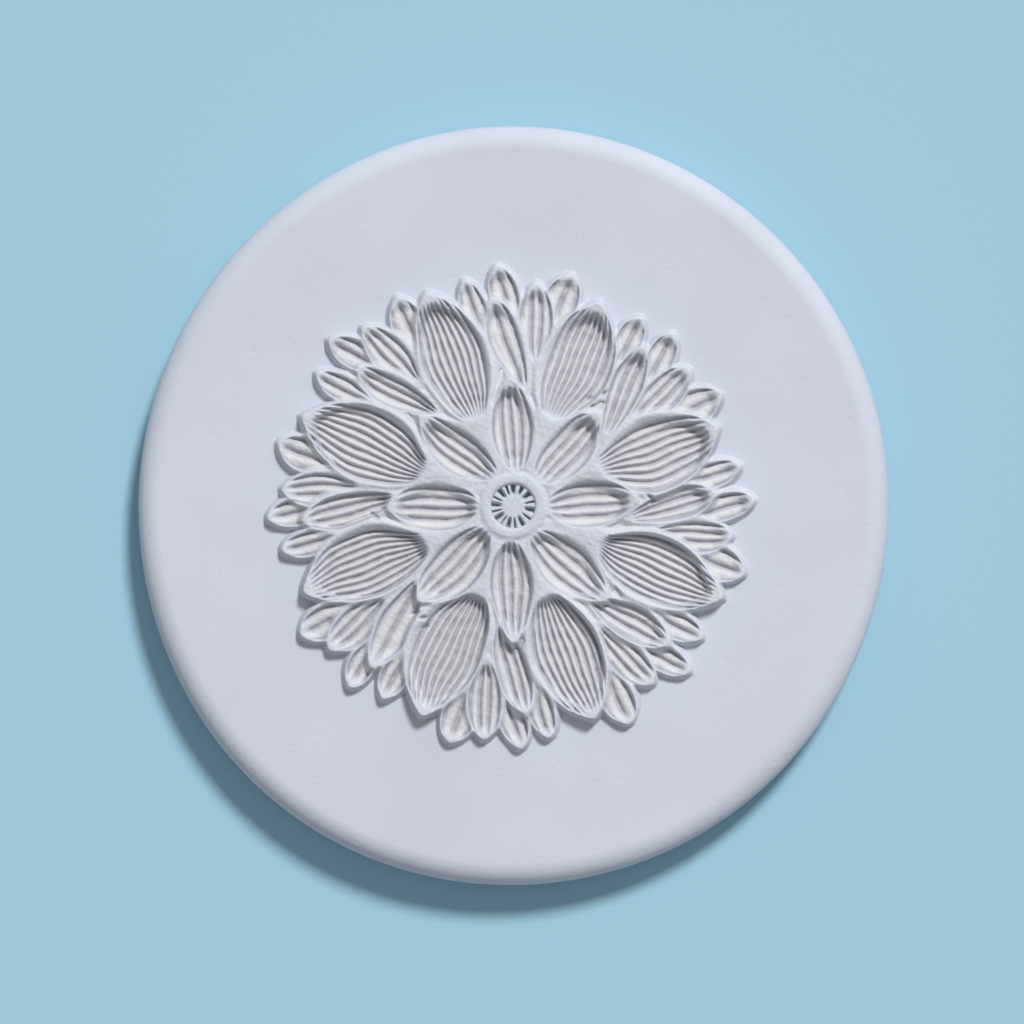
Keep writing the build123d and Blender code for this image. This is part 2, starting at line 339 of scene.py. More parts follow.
# Petals, clockwise from the top: tip bearing, root bearing, shares of the reach, width
# and bow, the widths of the left and right wall, and the number of ribs
INNER_ROWS = [
    (92, 85, 0.99, 0.90, -0.05, 0.5, 1.5, 4),
    (47, 42, 0.98, 1.00, 0.02, 1.8, 0.5, 4),
    (3, -2, 0.96, 1.04, 0.03, 1.8, 0.5, 4),
    (-45, -57, 1.02, 1.08, 0.00, 2.0, 0.5, 4),
    (-90, -98, 1.05, 0.90, 0.04, 1.2, 0.5, 4),
    (-135, -140, 1.04, 1.08, 0.05, 0.6, 1.4, 4),
    (180, 182, 0.97, 1.04, -0.03, 0.5, 1.8, 4),
    (137, 121, 0.99, 0.97, 0.00, 0.5, 1.8, 4),
]
LARGE_ROWS = [
    (112, 115, 1.02, 0.90, -0.04, 0.8, 1.0, 8),
    (67, 67, 0.98, 0.95, -0.04, 1.8, 0.8, 8),
    (21, 24, 0.97, 1.02, -0.05, 1.8, 0.6, 7),
    (-24, -25, 1.01, 0.92, 0.00, 0.6, 1.0, 8),
    (-69, -70, 1.01, 0.95, -0.04, 0.5, 1.0, 8),
    (-114, -112, 1.01, 1.00, -0.07, 0.4, 1.5, 8),
    (-158, -155, 1.00, 0.96, -0.08, 0.4, 1.4, 8),
    (157, 161, 1.01, 1.00, -0.05, 0.5, 1.0, 8),
]
NECK_BEARINGS = [104, 63, 21, -30, -79, -120, -159, 151]
MIDDLE_ROWS = [
    (96, 83, 1.01, 1.00, 0.00, 0.5, 1.4, 2),
    (51, 36, 0.99, 0.95, 0.00, 0.8, 0.8, 3),
    (4, -7, 0.98, 0.95, 0.00, 0.6, 0.8, 3),
    (-41, -52, 1.00, 1.00, 0.00, 1.0, 0.5, 3),
    (-86, -98, 1.00, 1.00, 0.00, 1.2, 0.5, 3),
    (-131, -143, 1.03, 1.05, 0.00, 0.8, 0.8, 2),
    (-176, 175, 1.02, 1.00, 0.00, 0.5, 0.8, 3),
    (139, 128, 1.00, 0.95, 0.00, 0.4, 1.4, 3),
]

# Leaves, clockwise from the top: tip bearing, share of the reach and number of ribs
LONG_ROWS = [
    (84, 0.98, 3),
    (38, 0.98, 3),
    (-8, 0.97, 3),
    (-52, 0.99, 3),
    (-97, 1.03, 3),
    (-142, 1.02, 3),
    (176, 1.01, 3),
    (130, 1.02, 3),
]
SIDE_ROWS = [
    (102, 0.99, 2),
    (56, 0.98, 2),
    (10, 0.99, 2),
    (-35, 0.99, 2),
    (-81, 1.01, 2),
    (-124, 1.00, 2),
    (-169, 1.01, 2),
    (146, 1.02, 2),
]
CROWN_ROWS = [
    (94, 0.99, 2),
    (47, 0.97, 2),
    (2, 0.99, 2),
    (-43, 1.00, 2),
    (-88, 1.00, 2),
    (-132, 1.01, 2),
    (-177, 1.01, 2),
    (138, 1.02, 2),
]
BROAD_ROWS = [
    (76, 0.98, 2),
    (28, 0.97, 2),
    (-16, 0.99, 2),
    (-62, 1.01, 2),
    (-105, 1.01, 2),
    (-149, 1.02, 2),
    (165, 1.00, 2),
    (119, 0.98, 2),
]

# The bearing that leaves turn their broad wall to, and the widths of their walls
BROAD_WALL_BEARING = 65
BROAD_WALL = 1.2
NARROW_WALL = 0.5


def petals(name, rows, root_radius, reach, width, fullness, pressing):
    """One ring of petals, from the rows of its table."""
    made = []
    for number, row in enumerate(rows, start=1):
        tip_bearing, root_bearing, reach_share, width_share, bow_share, *bed = row
        blade = Blade(
            at(root_radius, root_bearing),
            at(reach * reach_share, tip_bearing),
            width / 2 * width_share,
            width * bow_share,
            fullness,
            tip_round=0.3,
            blunt=0.88,
        )
        made.append(Sprig(f"{name}_{number}", blade, pressing, *bed))
    return made


def leaves(name, rows, reach, length, width, lean, pressing):
    """One ring of outer leaves, which lean from their bearings by an angle."""
    made = []
    for number, (tip_bearing, reach_share, ribs) in enumerate(rows, start=1):
        tip = at(reach * reach_share, tip_bearing)
        root = tip - at(length, tip_bearing + lean)
        blade = Blade(root, tip, width / 2 - 0.08, 0.0, 0.15, tip_round=0.35, blunt=0.83)
        facing = 0.5 + 0.5 * float(blade.left @ at(1, BROAD_WALL_BEARING))
        left_wall = NARROW_WALL + (BROAD_WALL - NARROW_WALL) * facing
        right_wall = NARROW_WALL + BROAD_WALL - left_wall
        made.append(Sprig(f"{name}_{number}", blade, pressing, left_wall, right_wall, ribs))
    return made


def lay_flower():
    """Every sprig of the flower, from the top layer down to the lowest."""
    large = petals("large_petal", LARGE_ROWS, 8.9, 24.2, 8.2, 0.0, LARGE)
    for sprig, row, bearing in zip(large, LARGE_ROWS, NECK_BEARINGS):
        sprig.neck = Blade(at(PETAL_ROOT_RADIUS, bearing), at(15.5, row[0]), 1.9, 0.0, 0.0)
    return [
        Ring("centre_ring", 2.35),
        *petals("inner_petal", INNER_ROWS, PETAL_ROOT_RADIUS, 14.0, 5.2, -0.1, INNER),
        *large,
        *petals("middle_petal", MIDDLE_ROWS, 11.8, 22.3, 3.7, 0.25, MIDDLE),
        *leaves("long_leaf", LONG_ROWS, 24.5, 9.4, 3.9, 5.5, LONG),
        *leaves("side_leaf", SIDE_ROWS, 24.95, 7.6, 3.0, 6.0, SIDE),
        *leaves("crown_leaf", CROWN_ROWS, 26.0, 7.4, 3.2, 13.0, CROWN),
        *leaves("broad_leaf", BROAD_ROWS, 26.05, 7.6, 3.9, -5.0, BROAD),
    ]


FLOWER = lay_flower()


def slab_face(x, y):
    """The slab's own face under the flower: nearly flat, with a mound of slip.

    The mound is 1.35 mm high between the petals, runs out where the leaves begin, and
    has a collar round the ring, 0.5 mm higher.
    """
    reach = np.hypot(x, y)
    mound = 1.35 * (1 - smooth((reach - 14) / 9)) + 0.5 * (1 - smooth((reach - 4) / 3))
    return mound + 0.05 * wander(x, y, 24, 11) * smooth((reach - 6) / 20)


def by_hand(x, y):
    """The same points, shifted a little and unevenly, so that outlines and ribs waver."""
    return x + 0.1 * wander(x, y, 6, 31), y + 0.1 * wander(x, y, 6, 33)


# Small strokes pressed into the gaps between the petals: middle, bearing and length
STROKES = [
    (8.05, 11.45, 20, 0.9),
    (8.45, 10.6, 10, 0.9),
    (9.6, 11.95, 35, 0.8),
    (9.35, 10.85, 15, 0.9),
    (14.56, 0.96, -35, 1.4),
    (11.1, -9.1, -60, 1.3),
    (0.85, -14.5, 80, 1.5),
    (-9.56, -11.8, 10, 0.8),
    (-9.4, -12.8, 20, 0.8),
    (-10.3, -11.3, 15, 0.9),
    (-14.7, -1.05, -40, 1.2),
    (-11.0, 9.45, -60, 1.3),
    (-1.17, 14.3, 75, 1.0),
]


def stroke_depth(x, y):
    """How deep the small strokes are: each falls off as a bell, longer than it is wide."""
    depth = np.zeros_like(x)
    for middle_x, middle_y, bearing, length in STROKES:
        way = at(1, bearing)
        dx = x - middle_x
        dy = y - middle_y
        far = (dx * way[0] + dy * way[1]) / (length / 2)
        off = (dy * way[0] - dx * way[1]) / 0.2
        depth = np.maximum(depth, np.exp(-(far**2) - off**2))
    return depth


def blanket(index, x, y, depth):
    """The flower's shared surface at some points, and how far one sprig lies under it.

    From the lowest layer to the top, each sprig's own surface takes over from the clay
    below across its rim. Where another sprig owns the surface, this one sinks by the
    square of the distance to the border between them, so that only one of them shows.
    The board that presses the sprigs on flattens them: what stands e above 2 mm comes
    down to e / (1 + e). Returns height, sink, painted shade and wash. The painted shade darkens the grooves and
    strokes in colour, in place of their shadow.
    """
    height = slab_face(x, y)
    sink = np.zeros_like(x)
    hollow = np.zeros_like(x)
    wash = 0.6 * smooth(height / 0.6)
    held_x, held_y = by_hand(x, y)
    for layer in range(len(FLOWER) - 1, -1, -1):
        sprig = FLOWER[layer]
        middle, reach = sprig.middle_and_reach()
        near = np.hypot(x - middle[0], y - middle[1]) < reach
        if not near.any():
            continue
        xs = held_x[near]
        ys = held_y[near]
        other = sprig.depth(xs, ys)
        own_height, own_painted_shade, own_wash = sprig.press(xs, ys)
        foot = sprig.pressing.foot if layer else 0.55
        over = smooth((other + foot) / (foot + SHOULDER))
        height[near] += (own_height - height[near]) * over
        hollow[near] += (own_painted_shade - hollow[near]) * over
        wash[near] += (own_wash - wash[near]) * over
        if layer != index:
            own = depth[near]
            if layer < index:
                lead = other - np.minimum(own, 0)
            else:
                lead = np.minimum(other, 0) - own
            sink[near] = np.maximum(sink[near], np.minimum(2.5 * np.clip(lead, 0, None) ** 2, 0.8))
    raised = smooth((height - 0.1) / 0.5)
    height += 0.035 * wander(x, y, 3.2, 21)
    height += raised * (0.022 * wander(x, y, 1.3, 22) + 0.014 * wander(x, y, 0.55, 23))
    stroke = stroke_depth(x, y)
    height -= 0.45 * stroke
    excess = np.clip(height - 2.0, 0, None)
    height += excess / (1 + excess) - excess
    # Painted shade: the strokes are darkened in colour as if by their shadow.
    hollow = np.maximum(hollow, stroke)
    return height, sink, hollow, wash


def make_mesh(name, loops, poles, closed=False):
    """A closed shell from rings of points.

    loops is an array of rings by points by three, in millimetres above the slab's face,
    and each ring joins the next. The first and last ring close on the two poles, or on
    each other where closed is true.
    """
    rings, count, _ = loops.shape
    points = loops.reshape(-1, 3)
    index = np.arange(rings * count).reshape(rings, count)
    if closed:
        first = index
        second = np.roll(index, -1, axis=0)
    else:
        first = index[:-1]
        second = index[1:]
    quads = np.stack(
        [first, np.roll(first, -1, axis=1), np.roll(second, -1, axis=1), second], axis=-1
    ).reshape(-1, 4)
    corners = [quads.ravel()]
    totals = [np.full(len(quads), 4)]
    if not closed:
        points = np.vstack([points, poles])
        start = np.full(count, rings * count)
        end = start + 1
        top = np.stack([start, np.roll(index[0], -1), index[0]], axis=-1)
        bottom = np.stack([end, index[-1], np.roll(index[-1], -1)], axis=-1)
        corners += [top.ravel(), bottom.ravel()]
        totals += [np.full(count, 3), np.full(count, 3)]
    corners = np.concatenate(corners)
    totals = np.concatenate(totals)
    starts = np.concatenate([[0], np.cumsum(totals)[:-1]])
    a, b, c = points[quads[:, 0]], points[quads[:, 1]], points[quads[:, 2]]
    d = points[quads[:, 3]]
    volume = np.einsum("ij,ij->", a, np.cross(b, c)) + np.einsum("ij,ij->", a, np.cross(c, d))
    if volume < 0:
        corners = corners[::-1].copy()
        totals = totals[::-1].copy()
        starts = np.concatenate([[0], np.cumsum(totals)[:-1]])
    placed = points * MM
    placed[:, 2] += FACE * MM
    mesh = bpy.data.meshes.new(name)
    mesh.vertices.add(len(placed))
    mesh.vertices.foreach_set("co", placed.ravel())
    mesh.loops.add(len(corners))
    mesh.loops.foreach_set("vertex_index", corners.astype(np.int32))
    mesh.polygons.add(len(totals))
    mesh.polygons.foreach_set("loop_start", starts.astype(np.int32))
    mesh.polygons.foreach_set("loop_total", totals.astype(np.int32))
    mesh.update(calc_edges=True)
    mesh.validate()
    mesh.shade_smooth()
    return mesh


def add_piece(name, mesh, material, node):
    """Put a mesh into the scene as the piece that stands for a node of the frame."""
    piece = bpy.data.objects.new(name, mesh)
    bpy.context.scene.collection.objects.link(piece)
    mesh.materials.append(material)
    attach(piece, "root")
    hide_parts(node)
    return piece


def set_values(mesh, name, values):
    """Store one number for each point of a mesh."""
    mesh.attributes.new(name, "FLOAT", "POINT").data.foreach_set("value", values.astype(np.float32))


def sprig_mesh(index, stations, columns):
    """The shell of one sprig, over the ground of its outlines and a margin.

    Stations run along its axis. At each one, points run across from the right edge to
    the left, at the height of the shared surface less the sprig's sink, and the ring
    closes along a flat underside that lies in the slab.
    """
    sprig = FLOWER[index]
    first = sprig.outlines()[-1].root
    tip = sprig.blade.tip
    length = float(np.hypot(*(tip - first)))
    along = (tip - first) / length
    left = np.array([-along[1], along[0]])
    margin = sprig.pressing.foot + MARGIN
    way = np.linspace(-margin, length + 1.3 * margin, stations + 2)[1:-1]
    shares = np.linspace(0, 1, 160)
    highs = []
    lows = []
    for blade in sprig.outlines():
        for side, group in ((1, highs), (-1, lows)):
            curve = blade.edge(side, shares) - first
            group.append(np.interp(way, curve @ along, curve @ left, left=0, right=0))
    high = np.max(highs, axis=0)
    low = np.min(lows, axis=0)
    from_start = np.clip((way + margin) / margin, 0, 1)
    from_end = np.clip((length + 1.3 * margin - way) / (1.3 * margin), 0, 1)
    cap = np.sqrt(1 - (1 - from_start) ** 2) * np.sqrt(1 - (1 - from_end) ** 2)
    high = high + margin * cap
    low = low - margin * cap
    across = np.linspace(0, 1, columns)
    side = low[:, None] + (high - low)[:, None] * across[None, :]
    x = first[0] + way[:, None] * along[0] + side * left[0]
    y = first[1] + way[:, None] * along[1] + side * left[1]
    depth = sprig.depth(*by_hand(x.ravel(), y.ravel()))
    height, sink, hollow, wash = blanket(index, x.ravel(), y.ravel(), depth)
    dip = 4.0 * np.clip(-depth - 0.75 * sprig.pressing.foot, 0, None) ** 2
    height = np.maximum(height - sink - dip, SUNK + 0.05).reshape(x.shape)
    top = np.stack([x, y, height], axis=-1)
    under = top[:, [-1, 0]].copy()
    under[:, :, 2] = SUNK
    loops = np.concatenate([top, under], axis=1)
    ends = np.array([first - along * margin, tip + along * 1.3 * margin])
    poles = np.column_stack([ends, np.full(2, SUNK)])
    mesh = make_mesh(sprig.name, loops, poles)
    # Each point keeps the painted shade of the grooves and the wash, for the material.
    for name, values in (("hollow", hollow), ("wash", wash)):
        grid = np.concatenate([values.reshape(x.shape), np.zeros((stations, 2))], axis=1)
        set_values(mesh, name, np.concatenate([grid.ravel(), [0, 0]]))
    return mesh


def ring_mesh(around, outward):
    """The ring: its bore's wall, its round crest and its soft foot among the petals' roots."""
    sprig = FLOWER[0]
    bearing = np.linspace(0, 2 * np.pi, around, endpoint=False)
    reach = np.linspace(BORE_RADIUS - 0.06, RING_RADIUS + 0.75, outward)
    x = (reach[:, None] * np.cos(bearing)[None, :]).ravel()
    y = (reach[:, None] * np.sin(bearing)[None, :]).ravel()
    depth = sprig.depth(*by_hand(x, y))
    height, sink, hollow, wash = blanket(0, x, y, depth)
    from_bore = np.clip((np.hypot(x, y) - BORE_RADIUS + 0.06) / 0.35, 0, 1)
    height = height - sink - 0.3 * (1 - np.sqrt(1 - (1 - from_bore) ** 2))
    top = np.stack([x, y, height], axis=-1).reshape(outward, around, 3)
    inner = np.repeat(top[:1], 10, axis=0)
    fall = np.linspace(0, 1, 11)[1:, None]
    inner[:, :, 2] = inner[:, :, 2] + (SUNK - inner[:, :, 2]) * fall
    outer = top[-1:].copy()
    outer[:, :, 2] = SUNK
    loops = np.concatenate([top, outer, inner[::-1]], axis=0)
    mesh = make_mesh(sprig.name, loops, None, closed=True)
    # Each point keeps the painted shade of the grooves and the wash, for the material.
    for name, values in (("hollow", hollow), ("wash", wash)):
        grid = np.concatenate([values.reshape(outward, around), np.zeros((11, around))])
        set_values(mesh, name, grid.ravel())
    return mesh


# The star's notches, by bearing: eight wide ones, each followed by a narrow one
NOTCHES = [
    (90, 0.25, 1.0),
    (64, 0.2, 0.9),
    (38, 0.27, 1.0),
    (13, 0.13, 0.6),
    (-11, 0.28, 0.95),
    (-37, 0.14, 0.6),
    (-62, 0.25, 0.95),
    (-84, 0.14, 0.6),
    (-104, 0.22, 1.0),
    (-124, 0.12, 0.5),
    (-144, 0.26, 0.95),
    (-165, 0.13, 0.55),
    (175, 0.29, 0.85),
    (154, 0.12, 0.55),
    (131, 0.27, 1.0),
    (109, 0.14, 0.75),
]


def star_mesh(around, outward):
    """The star in the ring's bore: a low dome with sixteen oval notches round it.

    A notch is a bell across its own middle line, which widens outwards, and a flatter
    bell along it. The spokes are what stays standing between two notches.
    """
    bearing = np.linspace(0, 2 * np.pi, around, endpoint=False)
    edge = BORE_RADIUS - 0.03
    reach = np.linspace(0.04, edge, outward)
    notch, width, depth = np.array(NOTCHES).T
    notch = np.radians(notch)
    turn = bearing[None, :, None] - notch[None, None, :]
    turn = (turn + np.pi) % (2 * np.pi) - np.pi
    across = np.clip(turn, -1, 1) * reach[:, None, None]
    widening = 0.31 + 0.57 * (reach[:, None, None] / edge)
    outwards = (reach[:, None, None] - 1.9) / 0.58
    cut = (depth * np.exp(-((np.abs(across) / (width * widening)) ** 2.6) - outwards**4)).max(axis=2)
    out = reach[:, None] + 0 * bearing[None, :]
    height = 2.0 - 0.1 * (out / edge) ** 2 - 1.1 * cut
    x = reach[:, None] * np.cos(bearing)[None, :]
    y = reach[:, None] * np.sin(bearing)[None, :]
    top = np.stack([x, y, height], axis=-1)
    wall = top[-1:].copy()
    wall[:, :, 2] = SUNK
    loops = np.concatenate([top, wall], axis=0)
    poles = np.array([[0, 0, height[0].mean()], [0, 0, SUNK]])
    mesh = make_mesh("centre_star", loops, poles)
    # Painted shade: the notches are darkened in colour as if by their shadow, the more the deeper they are cut.
    hollow = np.concatenate([0.45 * cut, np.zeros((1, around))])
    set_values(mesh, "hollow", np.concatenate([hollow.ravel(), [0, 0]]))
    set_values(mesh, "wash", np.zeros(loops.shape[0] * around + 2))
    return mesh


def slab_mesh(around, edge_round, bevel):
    """The slab: its face, rounded edge, side and back, as rings from the middle out and under.

    Each ring is an ellipse of the slab's width and depth drawn in by a margin. The
    rounded edge is a quarter of a circle, and the outline wavers a little.
    """
    face_in = np.concatenate([np.linspace(0.5, 27, 90), np.linspace(27, 37.2, 26)[1:]])
    turn = np.linspace(0, np.pi / 2, 26)
    half = SLAB_WIDTH / 2
    round_reach = half - edge_round + edge_round * np.sin(turn)
    round_height = -edge_round + edge_round * np.cos(turn)
    side_height = np.linspace(-edge_round, bevel - FACE, 8)[1:]
    side_reach = np.full(7, half)
    back_reach = np.array([half - bevel * 0.3, half - bevel, half - 3, 20.0, 6.0])
    back_height = np.array([bevel * 0.3 - FACE, -FACE, -FACE, -FACE, -FACE])
    reach = np.concatenate([face_in, round_reach, side_reach, back_reach])
    height = np.concatenate([np.zeros_like(face_in), round_height, side_height, back_height])
    bearing = np.linspace(0, 2 * np.pi, around, endpoint=False)
    outward = smooth((reach - 26) / (half - 26))
    waver = 0.10 * np.sin(2 * bearing + 0.8) + 0.07 * np.sin(3 * bearing + 2.1) + 0.04 * np.sin(5 * bearing)
    waver = waver + 0.15
    deep = SLAB_DEPTH / SLAB_WIDTH
    out = reach[:, None] + outward[:, None] * waver[None, :]
    x = out * np.cos(bearing)[None, :]
    y = out * np.sin(bearing)[None, :] * (1 + (deep - 1) * outward[:, None])
    rings = len(face_in)
    fx = x[:rings].ravel()
    fy = y[:rings].ravel()
    face = slab_face(fx, fy)
    nearest = np.full_like(fx, -5.0)
    for sprig in FLOWER:
        nearest = np.maximum(nearest, sprig.depth(*by_hand(fx, fy)))
    face = face - (0.3 + 0.9 * np.clip(face, 0, None)) * smooth((nearest - 0.1) / 0.8)
    z = np.repeat(height[:, None], around, axis=1)
    z[:rings] = face.reshape(rings, around)
    blend = 1 - smooth((reach - 30) / 7)
    z[:rings] = z[:rings] * blend[:rings, None]
    loops = np.stack([x, y, z], axis=-1)
    poles = np.array([[0, 0, z[0].mean()], [0, 0, -FACE]])
    mesh = make_mesh("slab", loops, poles)
    wash = np.zeros(loops.shape[:2])
    wash[:rings] = (0.6 * smooth(slab_face(fx, fy) / 0.6)).reshape(rings, around)
    set_values(mesh, "wash", np.concatenate([wash.ravel(), [0, 0]]))
    return mesh


def socket(group, name, kind, in_out, default=None):
    """Add a named socket to a node group."""
    made = group.interface.new_socket(name=name, in_out=in_out, socket_type=kind)
    if default is not None:
        made.default_value = default
    return made


def grain_group():
    """Clay grain: a fine height for the bump, and a slow mottle, both from Object coordinates."""
    if "clay_grain" in bpy.data.node_groups:
        return bpy.data.node_groups["clay_grain"]
    group = bpy.data.node_groups.new("clay_grain", "ShaderNodeTree")
    socket(group, "Grain Scale", "NodeSocketFloat", "INPUT", 2600.0)
    socket(group, "Mottle Scale", "NodeSocketFloat", "INPUT", 70.0)
    socket(group, "Pit Scale", "NodeSocketFloat", "INPUT", 420.0)
    socket(group, "Height", "NodeSocketFloat", "OUTPUT")
    socket(group, "Mottle", "NodeSocketFloat", "OUTPUT")
    socket(group, "Pits", "NodeSocketFloat", "OUTPUT")
    nodes = group.nodes
    links = group.links
    given = nodes.new("NodeGroupInput")
    result = nodes.new("NodeGroupOutput")
    place = nodes.new("ShaderNodeTexCoord")
    fine = nodes.new("ShaderNodeTexNoise")
    fine.inputs["Detail"].default_value = 4.0
    fine.inputs["Roughness"].default_value = 0.6
    slow = nodes.new("ShaderNodeTexNoise")
    slow.inputs["Detail"].default_value = 3.0
    pits = nodes.new("ShaderNodeTexVoronoi")
    pits.inputs["Randomness"].default_value = 1.0
    spread = nodes.new("ShaderNodeMapRange")
    spread.inputs["From Min"].default_value = 0.04
    spread.inputs["From Max"].default_value = 0.16
    spread.inputs["To Min"].default_value = 1.0
    spread.inputs["To Max"].default_value = 0.0
    less = nodes.new("ShaderNodeMath")
    less.operation = "MULTIPLY_ADD"
    less.inputs[1].default_value = -0.8
    for texture in (fine, slow, pits):
        links.new(place.outputs["Object"], texture.inputs["Vector"])
    links.new(given.outputs["Grain Scale"], fine.inputs["Scale"])
    links.new(given.outputs["Mottle Scale"], slow.inputs["Scale"])
    links.new(given.outputs["Pit Scale"], pits.inputs["Scale"])
    links.new(pits.outputs["Distance"], spread.inputs["Value"])
    links.new(spread.outputs["Result"], less.inputs[0])
    links.new(fine.outputs["Fac"], less.inputs[2])
    links.new(less.outputs["Value"], result.inputs["Height"])
    links.new(slow.outputs["Fac"], result.inputs["Mottle"])
    links.new(spread.outputs["Result"], result.inputs["Pits"])
    return group


def clay_material(name, plain, warm, shade, roughness, grain):
    """Matt clay: its plain colour, a warmer wash where the sprigs are ribbed, and painted shade that darkens the
    grooves.
    """
    material = bpy.data.materials.new(name)
    material.use_nodes = True
    nodes = material.node_tree.nodes
    links = material.node_tree.links
    shader = nodes["Principled BSDF"]
    effect = nodes.new("ShaderNodeGroup")
    effect.node_tree = grain_group()
    wash = nodes.new("ShaderNodeAttribute")
    wash.attribute_name = "wash"
    hollow = nodes.new("ShaderNodeAttribute")
    hollow.attribute_name = "hollow"
    warmed = nodes.new("ShaderNodeMix")
    warmed.data_type = "RGBA"
    warmed.inputs["A"].default_value = (*plain, 1)
    warmed.inputs["B"].default_value = (*warm, 1)
    # Painted shade: up to 62 % of the shade colour is mixed in, by each point's stored share of painted shade.
    share = nodes.new("ShaderNodeMath")
    share.operation = "MULTIPLY"
    share.inputs[1].default_value = 0.62
    shaded = nodes.new("ShaderNodeMix")
    shaded.data_type = "RGBA"
    shaded.inputs["B"].default_value = (*shade, 1)
    tone = nodes.new("ShaderNodeMapRange")
    tone.inputs["From Min"].default_value = 0.3
    tone.inputs["From Max"].default_value = 0.7
    tone.inputs["To Min"].default_value = 0.97
    tone.inputs["To Max"].default_value = 1.03
    toned = nodes.new("ShaderNodeMix")
    toned.data_type = "RGBA"
    toned.blend_type = "MULTIPLY"
    toned.inputs["Factor"].default_value = 1.0
    rough = nodes.new("ShaderNodeMapRange")
    rough.inputs["To Min"].default_value = roughness - 0.06
    rough.inputs["To Max"].default_value = roughness + 0.06
    bump = nodes.new("ShaderNodeBump")
    bump.inputs["Strength"].default_value = grain
    bump.inputs["Distance"].default_value = 0.0001
    links.new(wash.outputs["Fac"], warmed.inputs["Factor"])
    links.new(hollow.outputs["Fac"], share.inputs[0])
    links.new(share.outputs["Value"], shaded.inputs["Factor"])
    links.new(warmed.outputs["Result"], shaded.inputs["A"])
    links.new(effect.outputs["Mottle"], tone.inputs["Value"])
    links.new(shaded.outputs["Result"], toned.inputs["A"])
    links.new(tone.outputs["Result"], toned.inputs["B"])
    links.new(toned.outputs["Result"], shader.inputs["Base Color"])
    links.new(effect.outputs["Mottle"], rough.inputs["Value"])
    links.new(rough.outputs["Result"], shader.inputs["Roughness"])
    links.new(effect.outputs["Height"], bump.inputs["Height"])
    links.new(bump.outputs["Normal"], shader.inputs["Normal"])
    shader.inputs["Specular IOR Level"].default_value = 0.3
    return material


def clay(context, slot):
    """The grained material of a slot, made from the panel's colours when it is first asked for."""
    name = f"grained_{slot}"
    if name not in bpy.data.materials:
        finish = context.scene.clay_finish
        grain = finish.grain if slot == "slab_clay" else finish.sprig_grain
        clay_material(name, finish.plain_clay, finish.warm_clay, finish.groove_shade_paint, finish.roughness, grain)
    return bpy.data.materials[name]


def layer_numbers(names):
    """The places in the flower of the sprigs whose names start with one of some names."""
    return [number for number, sprig in enumerate(FLOWER) if sprig.name.startswith(names)]


class ClayFinish(PropertyGroup):
    """The clay's colours and surface."""

    plain_clay: FloatVectorProperty(
        name="Plain clay",
        description="Colour of the slab, the ring and the smooth necks",
        subtype="COLOR",
        default=(0.575, 0.605, 0.685),
        min=0,
        max=1,
    )
    warm_clay: FloatVectorProperty(
        name="Ribbed clay",
        description="Colour of the ribbed beds of the petals",
        subtype="COLOR",
        default=(0.66, 0.66, 0.672),
        min=0,
        max=1,
    )
    # Painted shade: the violet-grey that grooves, notches and strokes are darkened towards, in place of their shadow.
    groove_shade_paint: FloatVectorProperty(
        name="Hollows",
        description="Colour of the clay in the grooves",
        subtype="COLOR",
        default=(0.28, 0.27, 0.36),
        min=0,
        max=1,
    )
    roughness: FloatProperty(
        name="Roughness",
        description="Roughness of the clay",
        subtype="FACTOR",
        default=0.78,
        min=0.1,
        max=0.94,
    )
    grain: FloatProperty(
        name="Slab grain",
        description="Strength of the fine grain on the slab",
        subtype="FACTOR",
        default=0.25,
        min=0,
        max=1,
    )
    sprig_grain: FloatProperty(
        name="Sprig grain",
        description="Strength of the fine grain on the flower, which is worked more",
        subtype="FACTOR",
        default=0.6,
        min=0,
        max=1,
    )


class ClaySizes(PropertyGroup):
    """Sizes of the slab that a user may change."""

    edge_round: FloatProperty(
        name="Edge round",
        description="Radius of the rounded edge of the slab's face",
        subtype="DISTANCE",
        unit="LENGTH",
        default=0.0024,
        min=0.0005,
        max=0.003,
    )
    back_bevel: FloatProperty(
        name="Back bevel",
        description="Width of the bevel round the slab's back",
        subtype="DISTANCE",
        unit="LENGTH",
        default=0.0008,
        min=0.0002,
        max=0.002,
    )


class ClayStage(PropertyGroup):
    """The floor and light of the pictures."""

    floor_colour: FloatVectorProperty(
        name="Floor",
        description="Colour of the floor",
        subtype="COLOR",
        default=(0.34, 0.56, 0.67),
        min=0,
        max=1,
    )
    key_strength: FloatProperty(
        name="Key light",
        description="Strength of the soft light from above",
        default=2.95,
        min=0,
        max=10,
    )
    fill_strength: FloatProperty(
        name="Fill light",
        description="Strength of the even light from all round",
        default=0.34,
        min=0,
        max=2,
    )


class CLAY_OT_slab(Operator):
    """Build the slab with its rounded edge"""

    bl_idname = "clay.slab"
    bl_label = "Slab"

    def execute(self, context):
        sizes = context.scene.clay_sizes
        mesh = slab_mesh(512, sizes.edge_round / MM, sizes.back_bevel / MM)
        add_piece("slab_body", mesh, clay(context, "slab_clay"), "slab")
        return {"FINISHED"}


class CLAY_OT_centre(Operator):
    """Build the ring and the star at the middle of the flower"""

    bl_idname = "clay.centre"
    bl_label = "Ring and Star"

    def execute(self, context):
        material = clay(context, "sprig_clay")
        add_piece("centre_ring_body", ring_mesh(256, 44), material, "centre_ring")
        add_piece("centre_star_body", star_mesh(384, 44), material, "centre_star")
        return {"FINISHED"}


def build_sprigs(context, names, stations, columns):
    """Build every sprig whose name starts with one of some names."""
    material = clay(context, "sprig_clay")
    for number in layer_numbers(names):
        name = FLOWER[number].name
        add_piece(f"{name}_body", sprig_mesh(number, stations, columns), material, name)


